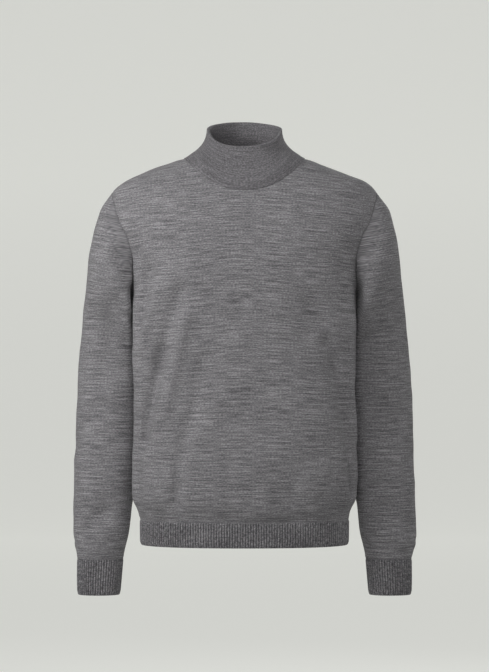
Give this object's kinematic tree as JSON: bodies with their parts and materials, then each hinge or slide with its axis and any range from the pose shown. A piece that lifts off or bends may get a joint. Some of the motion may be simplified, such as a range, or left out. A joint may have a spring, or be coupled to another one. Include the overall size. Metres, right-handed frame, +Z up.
{
  "type": "turtleneck sweater",
  "caption": "Fine-knit long-sleeved sweater with a folded turtleneck collar and ribbed hem and cuffs, filled out as if worn.",
  "frame": {"origin": "the middle of the neck hole at the height of the shoulders, where the wearer's shoulders and neck hold the sweater up", "axes": "+Z up along the wearer's body, -Y the front of the sweater, +X the wearer's left"},
  "size_m": [0.5996, 0.2347, 0.8282],
  "materials": {
    "front_panel_cloth": "matt fine jersey, grey melange",
    "back_panel_cloth": "matt fine jersey, grey melange",
    "sleeve_left_cloth": "matt fine jersey, grey melange",
    "sleeve_right_cloth": "matt fine jersey, grey melange",
    "collar_cloth": "matt fine jersey, grey melange",
    "hem_front_cloth": "matt knitted rib, grey melange",
    "hem_back_cloth": "matt knitted rib, grey melange",
    "cuff_left_cloth": "matt knitted rib, grey melange",
    "cuff_right_cloth": "matt knitted rib, grey melange"
  },
  "bodies": {
    "root": {"front_panel": "front_panel_cloth", "back_panel": "back_panel_cloth", "sleeve_left": "sleeve_left_cloth", "sleeve_right": "sleeve_right_cloth", "collar": "collar_cloth", "hem_front": "hem_front_cloth", "hem_back": "hem_back_cloth", "cuff_left": "cuff_left_cloth", "cuff_right": "cuff_right_cloth"}
  },
  "joints": []
}
